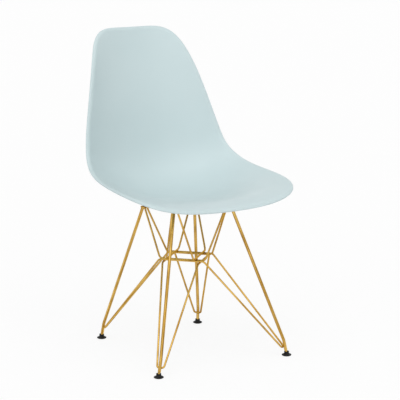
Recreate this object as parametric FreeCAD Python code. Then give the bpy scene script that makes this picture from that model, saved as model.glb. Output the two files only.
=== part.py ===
import FreeCAD, Part
import math
import os
from collections import namedtuple

from FreeCAD import Vector

# Moulded plastic shell chair on a welded base of round steel rod and wire.
# All sizes are in millimetres. The chair faces -Y, +X is the sitter's left and +Z is up.
# The floor is z = 0. Plan positions are measured from the upright axis of the base and the
# whole chair is moved along Y at the end, so that the origin lies under the middle of its box.

# Seat shell. The rows run along the middle of the shell from the front edge over the seat and
# up the back to the top edge. Each row gives the seat surface in the middle as a distance
# behind the base axis and a height above the shell's own level, then half the shell's width
# there and how far the side wing rises out of the middle.
SHELL_ROWS = (
    (-210.0, 29.0, 246.0, 21.0),
    (-176.0, 41.0, 243.0, 21.5),
    (-109.5, 33.5, 239.0, 38.0),
    (-25.0, 17.5, 229.0, 55.5),
    (64.5, 10.0, 219.0, 67.5),
    (144.5, 25.0, 209.5, 73.0),
    (201.5, 76.0, 201.5, 67.5),
    (222.5, 147.0, 190.0, 57.5),
    (236.5, 220.5, 172.5, 52.0),
    (253.0, 293.5, 155.0, 48.5),
    (271.0, 362.0, 140.5, 42.5),
    (288.0, 423.5, 135.5, 30.0),
)
SHELL_WALL = 5.0
WING_POWER = 2.1
FRONT_CORNER_POWER = 3.3
TOP_CORNER_POWER = 5.5
SHELL_MIDDLE_ROW = 5.2
LIP_RADIUS = 14.0
LIP_ANGLE = 44.0
LIP_POINTS = 3
TIP_POINTS = 3
RIM_STEPS = 72
SPOKE_STEPS = (0.1, 0.22, 0.35, 0.48, 0.6, 0.71, 0.8, 0.87, 0.925, 0.965)

# Base: rod and wire
LEG_ROD_DIAMETER = 8.0
WIRE_DIAMETER = 5.0
WELD_GAP = 0.2
LEG_TOP_HEIGHT = 371.7
LEG_TOP_FRONT = (84.0, -85.7)
LEG_TOP_REAR = (77.0, 87.5)
LEG_TOP_BEND = 9.0
LEG_TOP_RUN = 20.0
KNEE_HEIGHT = 42.3
KNEE_FRONT = (181.5, -189.5)
KNEE_REAR = (146.0, 185.0)
KNEE_BEND = 30.0
FOOT_FRONT = (189.0, -192.2)
FOOT_REAR = (148.8, 192.2)

# Base: ring of crossed bars under the seat
RING_HEIGHT = 247.2
RING_CENTRE = -2.0
RING_TURN = 45.0
UPPER_BAR_LENGTH = 120.0
UPPER_BAR_SPACING = 72.0
LOWER_BAR_LENGTH = 118.0
LOWER_BAR_SPACING = 94.0
WIRE_BEND = 12.0
WIRE_TOP_BEND = 6.0
WIRE_TOP_RUN = 10.0
WIRE_TOP_INSET_FRONT = 10.4
WIRE_TOP_INSET_REAR = 6.4
HAIRPIN_HEIGHT_FRONT = 24.6
HAIRPIN_HEIGHT_REAR = 34.4
HAIRPIN_WIDTH = 17.2
HAIRPIN_BEND = 7.2

# Seat mounts. The front ones lie higher than the rear ones, as the seat slopes backwards.
FRONT_MOUNT_RISE = 16.0
SHELL_RISE = 1.0
PLATE_THICKNESS = 3.0
PLATE_WIDTH = 26.0
PLATE_OVERHANG = 4.0
PLATE_TIP = 10.0
MOUNT_INSET = 28.0
BOLT_HOLE_DIAMETER = 6.6
PAD_DIAMETER = 25.0
PAD_THICKNESS = 5.0
PAD_HOLE_DIAMETER = 7.0
PAD_GROOVE_DIAMETER = 26.2
PAD_GROOVE_RADIUS = 1.5
BOSS_DIAMETER = 25.0
BOSS_TOP_DIAMETER = 32.0
BOSS_SINK = 2.5

# Fasteners
BOLT_DIAMETER = 6.0
BOLT_REACH = 7.5
BOLT_HEAD_ACROSS_FLATS = 10.0
BOLT_HEAD_HEIGHT = 4.0
BOLT_HEAD_CHAMFER = 0.9
WASHER_DIAMETER = 14.0
WASHER_THICKNESS = 1.2
LOCK_WASHER_DIAMETER = 10.6
LOCK_WASHER_THICKNESS = 1.6
LOCK_WASHER_SPLIT = 1.0
WASHER_HOLE_DIAMETER = 6.4
INSERT_DIAMETER = 9.0
INSERT_LENGTH = 8.0
INSERT_FLANGE_DIAMETER = 11.0
INSERT_FLANGE_THICKNESS = 1.0
FIT_GAP = 0.05

# Self-levelling glides
BALL_DIAMETER = 8.0
BALL_HEIGHT = 6.0
BALL_CLEARANCE = 0.06
NECK_DIAMETER = 5.5
NECK_LENGTH = 8.4
GLIDE_DIAMETER = 25.0
GLIDE_SOLE_DIAMETER = 19.0
GLIDE_SOLE_RISE = 1.6
GLIDE_EDGE_TOP = 3.4
GLIDE_HUB_DIAMETER = 12.8
GLIDE_HUB_HEIGHT = 12.0
GLIDE_FLARE_HEIGHT = 7.4
GLIDE_SKIRT_DIAMETER = 15.2
GLIDE_SKIRT_HEIGHT = 6.0
GLIDE_MOUTH_DIAMETER = 11.2
GLIDE_THROAT_DIAMETER = 7.5

PARTS_FOLDER = "parts"
UP = Vector(0, 0, 1)

LEG_ROD_RADIUS = LEG_ROD_DIAMETER / 2
WIRE_RADIUS = WIRE_DIAMETER / 2

# The four corners of the base. Places are given for the left side.
Corner = namedtuple("Corner", "side top top_height knee foot wire_inset hairpin_height")
FRONT = (
    LEG_TOP_FRONT, LEG_TOP_HEIGHT + FRONT_MOUNT_RISE, KNEE_FRONT, FOOT_FRONT,
    WIRE_TOP_INSET_FRONT, HAIRPIN_HEIGHT_FRONT,
)
REAR = (
    LEG_TOP_REAR, LEG_TOP_HEIGHT, KNEE_REAR, FOOT_REAR,
    WIRE_TOP_INSET_REAR, HAIRPIN_HEIGHT_REAR,
)
CORNERS = {
    "front_right": Corner(-1, *FRONT),
    "front_left": Corner(1, *FRONT),
    "rear_right": Corner(-1, *REAR),
    "rear_left": Corner(1, *REAR),
}

# Each thin wire and each loop runs from one front corner to the rear corner across from it
DIAGONALS = {
    "left": (CORNERS["front_left"], CORNERS["rear_right"]),
    "right": (CORNERS["front_right"], CORNERS["rear_left"]),
}


# Levels of the seat mounts, from the rods upwards

def plate_bottom(corner):
    return corner.top_height + LEG_ROD_RADIUS + WELD_GAP / 2


def plate_top(corner):
    return plate_bottom(corner) + PLATE_THICKNESS


def seating_plane(corner):
    """The level at which a boss of the shell rests on its pad."""
    return plate_top(corner) + PAD_THICKNESS


SHELL_LEVEL = seating_plane(CORNERS["rear_left"]) + SHELL_RISE


# Seat shell surface

def row_values(row):
    """Middle line and section sizes at a place between the rows, as a smooth cubic curve."""
    last = len(SHELL_ROWS) - 1
    row = min(max(row, 0.0), float(last))
    index = min(int(row), last - 1)
    f = row - index
    weights = (
        (1 - f) ** 3 / 6,
        (3 * f ** 3 - 6 * f ** 2 + 4) / 6,
        (-3 * f ** 3 + 3 * f ** 2 + 3 * f + 1) / 6,
        f ** 3 / 6,
    )
    values = []
    for column in range(4):
        total = 0.0
        for step, weight in enumerate(weights):
            total += weight * row_entry(index - 1 + step, column)
        values.append(total)
    return values


def row_entry(index, column):
    """One row's entry, continued in a straight line past both ends."""
    last = len(SHELL_ROWS) - 1
    if index < 0:
        return 2 * SHELL_ROWS[0][column] - SHELL_ROWS[1][column]
    if index > last:
        return 2 * SHELL_ROWS[last][column] - SHELL_ROWS[last - 1][column]
    return SHELL_ROWS[index][column]


def seat_point(x, row):
    """A point of the sitter's side of the shell, at x off the middle of a row."""
    y, z, half_width, rise = row_values(row)
    step = 0.001
    last = len(SHELL_ROWS) - 1
    before = row_values(max(row - step, 0.0))
    after = row_values(min(row + step, float(last)))
    along_y = after[0] - before[0]
    along_z = after[1] - before[1]
    length = math.hypot(along_y, along_z)
    lift = rise * (abs(x) / half_width) ** WING_POWER
    return Vector(
        x,
        y - lift * along_z / length,
        SHELL_LEVEL + z + lift * along_y / length,
    )


def rim_direction(angle):
    """Where a spoke meets the rounded outline, as shares of the half width and of the length."""
    across = math.sin(angle)
    along = -math.cos(angle)
    share = (1 + along) / 2
    power = FRONT_CORNER_POWER + (TOP_CORNER_POWER - FRONT_CORNER_POWER) * share
    reach = (abs(across) ** power + abs(along) ** power) ** (-1 / power)
    return reach * across, reach * along


def spoke_place(angle, share):
    """The x and the row at a share of the way from the shell's middle to its rim."""
    across, along = rim_direction(angle)
    span = SHELL_MIDDLE_ROW
    if along > 0:
        span = len(SHELL_ROWS) - 1 - SHELL_MIDDLE_ROW
    row = SHELL_MIDDLE_ROW + share * along * span
    return share * across * row_values(row)[2], row


def spoke_point(angle, share):
    return seat_point(*spoke_place(angle, share))


def spoke_frame(angle, share):
    """The point, the direction outwards along the surface and the normal to the sitter's side."""
    step = 0.002
    point = spoke_point(angle, share)
    outwards = point.sub(spoke_point(angle, share - step))
    around = spoke_point(angle + step, share).sub(spoke_point(angle - step, share))
    around.normalize()
    outwards = outwards.sub(around * outwards.dot(around))
    outwards.normalize()
    normal = outwards.cross(around)
    return point, outwards, normal


def shell_spoke(angle):
    """Points from the middle of the seat face over the rolled lip to the middle underneath."""
    top = []
    underneath = []
    for share in SPOKE_STEPS:
        point, outwards, normal = spoke_frame(angle, share)
        top.append(point)
        underneath.append(point - normal * SHELL_WALL)
    rim, outwards, normal = spoke_frame(angle, 1.0)
    curl_centre = rim - normal * LIP_RADIUS
    inner_radius = LIP_RADIUS - SHELL_WALL
    middle_radius = LIP_RADIUS - SHELL_WALL / 2
    for step in range(LIP_POINTS):
        turn = math.radians(LIP_ANGLE) * step / (LIP_POINTS - 1)
        radial = outwards * math.sin(turn) + normal * math.cos(turn)
        top.append(curl_centre + radial * LIP_RADIUS)
        underneath.append(curl_centre + radial * inner_radius)
    turn = math.radians(LIP_ANGLE)
    radial = outwards * math.sin(turn) + normal * math.cos(turn)
    onward = outwards * math.cos(turn) - normal * math.sin(turn)
    edge = curl_centre + radial * middle_radius
    rounding = []
    for step in range(TIP_POINTS):
        bend = math.pi * (step + 1) / (TIP_POINTS + 1)
        rounding.append(edge + (radial * math.cos(bend) + onward * math.sin(bend)) * (SHELL_WALL / 2))
    return top + rounding + underneath[::-1]


def shell_body():
    """The bare shell: one closed smooth surface, from spokes that run round the lip."""
    angles = [2 * math.pi * step / RIM_STEPS for step in range(RIM_STEPS)]
    spokes = [shell_spoke(angle) for angle in angles]
    row_step = 0.01
    middle = seat_point(0.0, SHELL_MIDDLE_ROW)
    along = seat_point(0.0, SHELL_MIDDLE_ROW + row_step).sub(seat_point(0.0, SHELL_MIDDLE_ROW - row_step))
    along.normalize()
    normal = Vector(1, 0, 0).cross(along)
    middle_under = middle - normal * SHELL_WALL

    # Places along a spoke, from the mean spacing of its points over all the spokes
    count = len(spokes[0]) + 2
    places = [0.0]
    for index in range(1, count):
        total = 0.0
        for spoke in spokes:
            line = [middle] + spoke + [middle_under]
            total += line[index].distanceToPoint(line[index - 1])
        places.append(places[-1] + total / len(spokes))

    # Smooth curves along the spokes that share their places, then round the rim
    columns = []
    for spoke in spokes:
        leaving = spoke[0].sub(middle)
        leaving = leaving.sub(normal * leaving.dot(normal)) * (1 / places[1])
        arriving = middle_under.sub(spoke[-1])
        arriving = arriving.sub(normal * arriving.dot(normal)) * (1 / (places[-1] - places[-2]))
        curve = Part.BSplineCurve()
        curve.interpolate(
            Points=[middle] + spoke + [middle_under],
            Parameters=places,
            InitialTangent=leaving,
            FinalTangent=arriving,
            Scale=False,
        )
        columns.append(curve.getPoles())
        spoke_knots = curve.getKnots()
        spoke_mults = curve.getMultiplicities()
    rim_places = [float(step) for step in range(RIM_STEPS + 1)]
    grid = []
    for index in range(1, len(columns[0]) - 1):
        curve = Part.BSplineCurve()
        curve.interpolate(
            Points=[column[index] for column in columns],
            Parameters=rim_places,
            PeriodicFlag=True,
        )
        grid.append(curve.getPoles())
        rim_knots = curve.getKnots()
        rim_mults = curve.getMultiplicities()
    grid.insert(0, [middle] * len(grid[0]))
    grid.append([middle_under] * len(grid[0]))
    surface = Part.BSplineSurface()
    surface.buildFromPolesMultsKnots(
        grid, spoke_mults, rim_mults, spoke_knots, rim_knots, False, True, 3, 3
    )
    surface.setVNotPeriodic()

    # One face for each band along the spokes and each quarter of the rim
    rim_place = len(SPOKE_STEPS) + 1
    lip_place = rim_place + LIP_POINTS - 1
    under_lip_place = lip_place + TIP_POINTS + 1
    under_rim_place = under_lip_place + LIP_POINTS - 1
    bands = (0, rim_place, lip_place, under_lip_place, under_rim_place, len(places) - 1)
    faces = []
    for start, end in zip(bands[:-1], bands[1:]):
        for quarter in range(4):
            patch = surface.copy()
            patch.segment(
                places[start], places[end], RIM_STEPS / 4 * quarter, RIM_STEPS / 4 * (quarter + 1)
            )
            faces.append(patch.toShape())
    shell = Part.makeShell(faces)
    shell.sewShape()
    solid = Part.Solid(shell)
    if solid.Volume < 0:
        solid.reverse()
    return solid


def row_at(y):
    """The row at which the middle of the seat lies at a distance behind the base axis."""
    low = 1.0
    high = SHELL_MIDDLE_ROW
    for _ in range(40):
        middle = (low + high) / 2
        if row_values(middle)[0] < y:
            low = middle
        else:
            high = middle
    return low


def seat_height(x, y):
    """Height of the seat face over a point in plan, and its slopes along X and Y."""
    step = 2.0
    heights = []
    for dx, dy in ((0, 0), (step, 0), (-step, 0), (0, step), (0, -step)):
        row = row_at(y + dy)
        for _ in range(6):
            point = seat_point(x + dx, row)
            row += (y + dy - point.y) / 90.0
        heights.append(seat_point(x + dx, row).z)
    slope_x = (heights[1] - heights[2]) / (2 * step)
    slope_y = (heights[3] - heights[4]) / (2 * step)
    return heights[0], slope_x, slope_y


# Rods and wires

def round_corners(points, radii, closed):
    """Straight runs and the tangent arcs between them. Radii belong to the inner points."""
    count = len(points)
    corners = range(count) if closed else range(1, count - 1)
    entry = {}
    leave = {}
    arcs = {}
    for index in corners:
        before = (points[index - 1].sub(points[index])).normalize()
        after = (points[(index + 1) % count].sub(points[index])).normalize()
        half_gap = before.getAngle(after) / 2
        radius = radii[index]
        reach = radius / math.tan(half_gap)
        entry[index] = points[index] + before * reach
        leave[index] = points[index] + after * reach
        centre = points[index] + (before + after).normalize() * (radius / math.sin(half_gap))
        axis = (before * -1).cross(after).normalize()
        arcs[index] = (centre, axis, math.degrees(math.pi - 2 * half_gap))
    runs = []
    for index in range(count if closed else count - 1):
        following = (index + 1) % count
        runs.append((leave.get(index, points[index]), entry.get(following, points[following])))
    return runs, entry, arcs


def bent_rod(points, radii, radius, closed=False):
    """A round rod along straight runs with rounded corners."""
    runs, entry, arcs = round_corners(points, radii, closed)
    pieces = []
    for start, end in runs:
        pieces.append(Part.makeCylinder(radius, start.distanceToPoint(end), start, end.sub(start)))
    for index, (centre, axis, degrees) in arcs.items():
        into = points[index].sub(points[index - 1])
        face = Part.Face(Part.Wire(Part.makeCircle(radius, entry[index], into)))
        pieces.append(face.revolve(centre, axis, degrees))
    return pieces[0].fuse(pieces[1:]).removeSplitter()


def plan(side, place, height):
    return Vector(side * place[0], place[1], height)


def inward(top):
    """The level direction from a top corner to the base axis."""
    return Vector(-top.x, -top.y, 0).normalize()


def sideways(direction):
    return Vector(-direction.y, direction.x, 0)


def top_point(corner):
    """Where a leg's straight run meets its level run under the plate."""
    return plan(corner.side, corner.top, corner.top_height)


def stub_point(corner, height):
    """A point on the axis of the short stub between the knee and the glide."""
    knee = plan(corner.side, corner.knee, KNEE_HEIGHT)
    ball = plan(corner.side, corner.foot, BALL_HEIGHT)
    return ball + knee.sub(ball) * ((height - BALL_HEIGHT) / (KNEE_HEIGHT - BALL_HEIGHT))


def leg_rod(corner):
    """A leg: level run under the plate, straight down to the knee, then the stub and its ball."""
    top = top_point(corner)
    knee = stub_point(corner, KNEE_HEIGHT)
    ball = stub_point(corner, BALL_HEIGHT)
    run_end = top + inward(top) * LEG_TOP_RUN
    stub = (knee.sub(ball)).normalize()
    shoulder = ball + stub * NECK_LENGTH
    rod = bent_rod([run_end, top, knee, shoulder], (0, LEG_TOP_BEND, KNEE_BEND, 0), LEG_ROD_RADIUS)
    neck = Part.makeCylinder(NECK_DIAMETER / 2, NECK_LENGTH, ball, stub)
    return rod.fuse([neck, Part.makeSphere(BALL_DIAMETER / 2, ball)]).removeSplitter()


def bar_directions(front):
    """The level direction of a bar towards a front foot, and across it."""
    turn = math.radians(RING_TURN)
    along = Vector(front.side * math.cos(turn), -math.sin(turn), 0)
    return along, sideways(along)


def ring_centre(height):
    return Vector(0, RING_CENTRE, height)


def upper_wire(diagonal, height, offset_side):
    """A thin wire: from a front corner down to the ring, along its bar and up to the rear corner."""
    along, across = bar_directions(diagonal[0])
    across = across * offset_side
    middle = ring_centre(height) + across * (UPPER_BAR_SPACING / 2)
    bar = along * (UPPER_BAR_LENGTH / 2)
    beside = LEG_ROD_RADIUS + WIRE_RADIUS + WELD_GAP
    ends = []
    for corner in diagonal:
        top = top_point(corner)
        direction = inward(top)
        shift = sideways(direction)
        if shift.dot(across) < 0:
            shift = shift * -1
        bend = top + direction * corner.wire_inset + shift * beside
        ends.append((bend - direction * WIRE_TOP_RUN, bend))
    points = [ends[0][0], ends[0][1], middle + bar, middle - bar, ends[1][1], ends[1][0]]
    radii = (0, WIRE_TOP_BEND, WIRE_BEND, WIRE_BEND, WIRE_TOP_BEND, 0)
    return bent_rod(points, radii, WIRE_RADIUS)


def hairpin_centre(corner):
    """The middle of a hairpin, on the side of its leg's stub that faces the base's axis."""
    stub_place = stub_point(corner, corner.hairpin_height)
    stub = stub_point(corner, KNEE_HEIGHT).sub(stub_place).normalize()
    towards = inward(stub_place)
    towards = (towards - stub * towards.dot(stub)).normalize()
    return stub_place + towards * (LEG_ROD_RADIUS + WIRE_RADIUS + WELD_GAP)


def lower_loop(diagonal, height):
    """A closed loop: two bars of the ring, each with an arm to a hairpin at the feet."""
    along, across = bar_directions(diagonal[0])
    front, rear = [hairpin_centre(corner) for corner in diagonal]
    half = across * (HAIRPIN_WIDTH / 2)
    bar = along * (LOWER_BAR_LENGTH / 2)
    offset = across * (LOWER_BAR_SPACING / 2)
    level = ring_centre(height)
    points = [
        front + half,
        level + bar + offset,
        level - bar + offset,
        rear + half,
        rear - half,
        level - bar - offset,
        level + bar - offset,
        front - half,
    ]
    side_bends = (HAIRPIN_BEND, WIRE_BEND, WIRE_BEND, HAIRPIN_BEND)
    return bent_rod(points, side_bends + side_bends, WIRE_RADIUS, closed=True)


# Seat mounts

def mount_place(corner, height):
    """A point on the upright axis of a corner's bolt."""
    top = plan(corner.side, corner.top, height)
    return top + inward(top) * MOUNT_INSET


def mounting_plate(corner):
    """A flat tab with round ends, welded on the level end of the leg rod."""
    top = plan(corner.side, corner.top, plate_bottom(corner))
    direction = inward(top)
    across = sideways(direction) * (PLATE_WIDTH / 2)
    outer = top - direction * PLATE_OVERHANG + direction * (PLATE_WIDTH / 2)
    centre = mount_place(corner, plate_bottom(corner))
    inner = centre + direction * (PLATE_TIP - PLATE_WIDTH / 2)
    outline = Part.Wire([
        Part.LineSegment(outer + across, inner + across).toShape(),
        Part.Arc(inner + across, inner + direction * (PLATE_WIDTH / 2), inner - across).toShape(),
        Part.LineSegment(inner - across, outer - across).toShape(),
        Part.Arc(outer - across, outer - direction * (PLATE_WIDTH / 2), outer + across).toShape(),
    ])
    plate = Part.Face(outline).extrude(UP * PLATE_THICKNESS)
    return plate.cut(Part.makeCylinder(BOLT_HOLE_DIAMETER / 2, PLATE_THICKNESS, centre))


def ring(outer_diameter, hole_diameter, thickness, bottom):
    body = Part.makeCylinder(outer_diameter / 2, thickness, bottom)
    return body.cut(Part.makeCylinder(hole_diameter / 2, thickness, bottom))


def mounting_pad(corner):
    """A rubber disc that keeps the shell off the steel plate."""
    pad = ring(PAD_DIAMETER, PAD_HOLE_DIAMETER, PAD_THICKNESS, mount_place(corner, plate_top(corner)))
    middle = mount_place(corner, plate_top(corner) + PAD_THICKNESS / 2)
    return pad.cut(Part.makeTorus(PAD_GROOVE_DIAMETER / 2, PAD_GROOVE_RADIUS, middle))


def boss(corner):
    """A tapered boss from the seating plane into the middle of the shell's wall."""
    bottom = mount_place(corner, seating_plane(corner))
    height, slope_x, slope_y = seat_height(bottom.x, bottom.y)
    normal = Vector(-slope_x, -slope_y, 1).normalize()
    top = Vector(bottom.x, bottom.y, height) - normal * BOSS_SINK
    lower = Part.Wire(Part.makeCircle(BOSS_DIAMETER / 2, bottom, UP))
    upper = Part.Wire(Part.makeCircle(BOSS_TOP_DIAMETER / 2, top, normal))
    return Part.makeLoft([lower, upper], True)


def insert_pocket(corner):
    bottom = mount_place(corner, seating_plane(corner))
    bore = Part.makeCylinder(INSERT_DIAMETER / 2, INSERT_LENGTH + FIT_GAP, bottom)
    seat = Part.makeCylinder(INSERT_FLANGE_DIAMETER / 2, INSERT_FLANGE_THICKNESS, bottom)
    return bore.fuse(seat)


def seat_shell():
    bosses = [boss(corner) for corner in CORNERS.values()]
    pockets = [insert_pocket(corner) for corner in CORNERS.values()]
    return shell_body().fuse(bosses).cut(pockets)


def threaded_insert(corner):
    """A metal sleeve with a flange, pressed into its boss. The bolt's thread is a plain hole."""
    bottom = mount_place(corner, seating_plane(corner))
    sleeve = Part.makeCylinder(INSERT_DIAMETER / 2 - FIT_GAP, INSERT_LENGTH, bottom)
    flange = Part.makeCylinder(INSERT_FLANGE_DIAMETER / 2 - FIT_GAP, INSERT_FLANGE_THICKNESS - FIT_GAP, bottom)
    bore = Part.makeCylinder(BOLT_DIAMETER / 2 + FIT_GAP, INSERT_LENGTH, bottom)
    return sleeve.fuse(flange).cut(bore)


def washer(corner):
    bottom = mount_place(corner, plate_bottom(corner) - WASHER_THICKNESS)
    return ring(WASHER_DIAMETER, WASHER_HOLE_DIAMETER, WASHER_THICKNESS, bottom)


def lock_washer(corner):
    """A split spring washer between the flat washer and the bolt's head."""
    bottom = mount_place(corner, plate_bottom(corner) - WASHER_THICKNESS - LOCK_WASHER_THICKNESS)
    body = ring(LOCK_WASHER_DIAMETER, WASHER_HOLE_DIAMETER, LOCK_WASHER_THICKNESS, bottom)
    split = Part.makeBox(
        LOCK_WASHER_DIAMETER, LOCK_WASHER_SPLIT, LOCK_WASHER_THICKNESS,
        bottom - Vector(0, LOCK_WASHER_SPLIT / 2, 0),
    )
    return body.cut(split)


def mounting_bolt(corner):
    """A hexagon bolt from below through washers, plate and pad into the insert."""
    under_head = mount_place(corner, plate_bottom(corner) - WASHER_THICKNESS - LOCK_WASHER_THICKNESS)
    corner_radius = BOLT_HEAD_ACROSS_FLATS / 2 / math.cos(math.pi / 6)
    corners = []
    for index in range(7):
        angle = math.pi / 3 * index
        corners.append(under_head + Vector(math.cos(angle), math.sin(angle), 0) * corner_radius)
    head = Part.Face(Part.makePolygon(corners)).extrude(UP * -BOLT_HEAD_HEIGHT)
    chamfer = Part.makeCone(
        corner_radius - BOLT_HEAD_CHAMFER, corner_radius - BOLT_HEAD_CHAMFER + BOLT_HEAD_HEIGHT * 2,
        BOLT_HEAD_HEIGHT, under_head - UP * BOLT_HEAD_HEIGHT,
    )
    head = head.common(chamfer)
    length = seating_plane(corner) + BOLT_REACH - under_head.z
    shank = Part.makeCylinder(BOLT_DIAMETER / 2, length, under_head)
    return head.fuse(shank).removeSplitter()


# Glides

def glide(corner):
    """A flared foot with a ball socket, which tilts on the end of the leg to lie flat."""
    socket = BALL_DIAMETER / 2 + BALL_CLEARANCE
    throat = GLIDE_THROAT_DIAMETER / 2
    throat_height = BALL_HEIGHT + math.sqrt(socket ** 2 - throat ** 2)
    hub = GLIDE_HUB_DIAMETER / 2
    outline = (
        (0, 0),
        (GLIDE_SOLE_DIAMETER / 2, 0),
        (GLIDE_DIAMETER / 2, GLIDE_SOLE_RISE),
        (GLIDE_DIAMETER / 2, GLIDE_EDGE_TOP),
        (GLIDE_SKIRT_DIAMETER / 2, GLIDE_SKIRT_HEIGHT),
        (hub, GLIDE_FLARE_HEIGHT),
        (hub, GLIDE_HUB_HEIGHT),
        (GLIDE_MOUTH_DIAMETER / 2, GLIDE_HUB_HEIGHT),
        (throat, throat_height),
    )
    points = [Vector(r, 0, z) for r, z in outline]
    edges = []
    for start, end in zip(points[:-1], points[1:]):
        edges.append(Part.LineSegment(start, end).toShape())
    socket_floor = Vector(0, 0, BALL_HEIGHT - socket)
    edges.append(Part.Arc(points[-1], Vector(socket, 0, BALL_HEIGHT), socket_floor).toShape())
    edges.append(Part.LineSegment(socket_floor, points[0]).toShape())
    solid = Part.Face(Part.Wire(edges)).revolve(Vector(0, 0, 0), UP, 360)
    solid.translate(plan(corner.side, corner.foot, 0))
    return solid


def group(solids):
    return Part.makeCompound(solids)


def build():
    nodes = {"seat_shell": seat_shell()}
    for name, corner in CORNERS.items():
        nodes["leg_rod_" + name] = leg_rod(corner)
        nodes["mounting_plate_" + name] = mounting_plate(corner)
        nodes["mounting_pad_" + name] = mounting_pad(corner)
        nodes["glide_" + name] = glide(corner)
    for name, maker in (
        ("threaded_inserts", threaded_insert),
        ("flat_washers", washer),
        ("lock_washers", lock_washer),
        ("mounting_bolts", mounting_bolt),
    ):
        nodes[name] = group([maker(corner) for corner in CORNERS.values()])

    # The bars that run towards the front left foot lie in the middle level of the ring. The
    # other upper wires cross over them and the other lower loop crosses under them.
    level = WIRE_DIAMETER + WELD_GAP
    for label, offset_side in (("front", -1), ("rear", 1)):
        nodes["upper_wire_left_" + label] = upper_wire(DIAGONALS["left"], RING_HEIGHT, offset_side)
    for label, offset_side in (("left", 1), ("right", -1)):
        nodes["upper_wire_right_" + label] = upper_wire(DIAGONALS["right"], RING_HEIGHT + level, offset_side)
    nodes["lower_loop_left"] = lower_loop(DIAGONALS["left"], RING_HEIGHT)
    nodes["lower_loop_right"] = lower_loop(DIAGONALS["right"], RING_HEIGHT - level)
    return nodes


def centre_in_depth(nodes):
    """Moves everything along Y so that the origin lies under the middle of the chair's depth."""
    low = 0.0
    high = 0.0
    for shape in nodes.values():
        box = shape.optimalBoundingBox(True, False)
        low = min(low, box.YMin)
        high = max(high, box.YMax)
    for shape in nodes.values():
        shape.translate(Vector(0, -(low + high) / 2, 0))
    return -(low + high) / 2


def main():
    os.makedirs(PARTS_FOLDER, exist_ok=True)
    nodes = build()
    shift = centre_in_depth(nodes)
    print("moved along Y by", round(shift, 3))
    for name, shape in nodes.items():
        shape.exportStep(os.path.join(PARTS_FOLDER, name + ".step"))
        print(name, len(shape.Solids), round(shape.Volume, 1), shape.isValid())


main()
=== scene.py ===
import math

import bpy
import numpy as np
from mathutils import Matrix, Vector


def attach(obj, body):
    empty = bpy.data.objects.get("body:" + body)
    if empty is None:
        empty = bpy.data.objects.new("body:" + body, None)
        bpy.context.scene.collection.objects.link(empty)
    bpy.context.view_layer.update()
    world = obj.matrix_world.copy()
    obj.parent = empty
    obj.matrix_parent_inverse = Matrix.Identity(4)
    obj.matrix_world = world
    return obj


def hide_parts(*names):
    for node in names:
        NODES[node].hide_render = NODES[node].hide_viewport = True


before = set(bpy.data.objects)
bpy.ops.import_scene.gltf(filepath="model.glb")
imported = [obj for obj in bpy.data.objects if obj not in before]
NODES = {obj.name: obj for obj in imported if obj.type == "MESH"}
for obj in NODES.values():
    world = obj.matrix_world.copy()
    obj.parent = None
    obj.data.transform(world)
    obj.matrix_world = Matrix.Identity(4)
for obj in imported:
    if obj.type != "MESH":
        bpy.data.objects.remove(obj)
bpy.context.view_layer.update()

MM = 0.001
CORNERS = ("front_right", "front_left", "rear_right", "rear_left")


# Sizes of the shell, in millimetres as in the CAD model, from the base's upright axis

AXIS_Y = -40.018

# Sections from the front edge to the top of the back. Each has the place (y) and the height of
# its middle, its half width, and the rise of its side wings.
SHELL_ROWS = np.array((
    (-210.0, 29.0, 246.0, 21.0),
    (-176.0, 41.0, 243.0, 21.5),
    (-109.5, 33.5, 239.0, 38.0),
    (-25.0, 17.5, 229.0, 55.5),
    (64.5, 10.0, 219.0, 67.5),
    (144.5, 25.0, 209.5, 73.0),
    (201.5, 76.0, 201.5, 67.5),
    (222.5, 147.0, 190.0, 57.5),
    (236.5, 220.5, 172.5, 52.0),
    (253.0, 293.5, 155.0, 48.5),
    (271.0, 362.0, 140.5, 42.5),
    (288.0, 423.5, 135.5, 30.0),
))
LAST_ROW = len(SHELL_ROWS) - 1
MIDDLE_ROW = 5.2
SHELL_LEVEL = 384.8
SHELL_WALL = 5.0
WING_POWER = 2.1
FRONT_CORNER_POWER = 3.3
TOP_CORNER_POWER = 5.5
LIP_RADIUS = 14.0
LIP_ANGLE = math.radians(44.0)

# Fineness of the shell's mesh. The rings stand closer to each other near the rim.
SPOKES = 288
RING_SHARES = np.concatenate([np.linspace(0.012, 0.9, 62), np.linspace(0.91, 0.985, 8)])
LIP_STEPS = 12
EDGE_STEPS = 11
ROW_STEP = 0.01

# Bosses, with the pocket of the insert and the wider mouth for its collar
MOUNT_INSET = 28.0
BOSS_RADIUS = 12.5
BOSS_BEVEL = 0.6
BOSS_FLARE = 3.0
BOSS_ROOT = 3.0
POCKET_RADIUS = 4.5
POCKET_DEPTH = 8.05
COLLAR_RADIUS = 5.5
COLLAR_DEPTH = 1.0
BOSS_SIDES = 64
BOSS_SHARES = np.linspace(0.15, 1, 8)
ROOT_BENDS = np.linspace(0, math.pi / 2, 9)[1:]

# How far the boss reaches into the wall of the shell, at its root and at its hidden top
ROOT_OVERLAP = 0.15
HIDDEN_RADIUS = 14.0
HIDDEN_DEPTH = 2.0


# Sizes of the base. Two numbers for front or rear are x and y of a point on the left side.

ROD_RADIUS = 4.0
WIRE_RADIUS = 2.5
WELD_GAP = 0.2
ROD_TO_WIRE = ROD_RADIUS + WIRE_RADIUS + WELD_GAP
WIRE_TO_WIRE = 2 * WIRE_RADIUS + WELD_GAP
PLATE_THICKNESS = 3.0
PAD_THICKNESS = 5.0

TOPS = {"front": (84.0, -85.7), "rear": (77.0, 87.5)}
TOP_HEIGHTS = {"front": 387.7, "rear": 371.7}
TOP_RUN = 20.0
KNEES = {"front": (181.5, -189.5), "rear": (146.0, 185.0)}
KNEE_HEIGHT = 42.3
FEET = {"front": (189.0, -192.2), "rear": (148.8, 192.2)}
LEG_BENDS = (0, 9, 30, 0)

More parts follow.
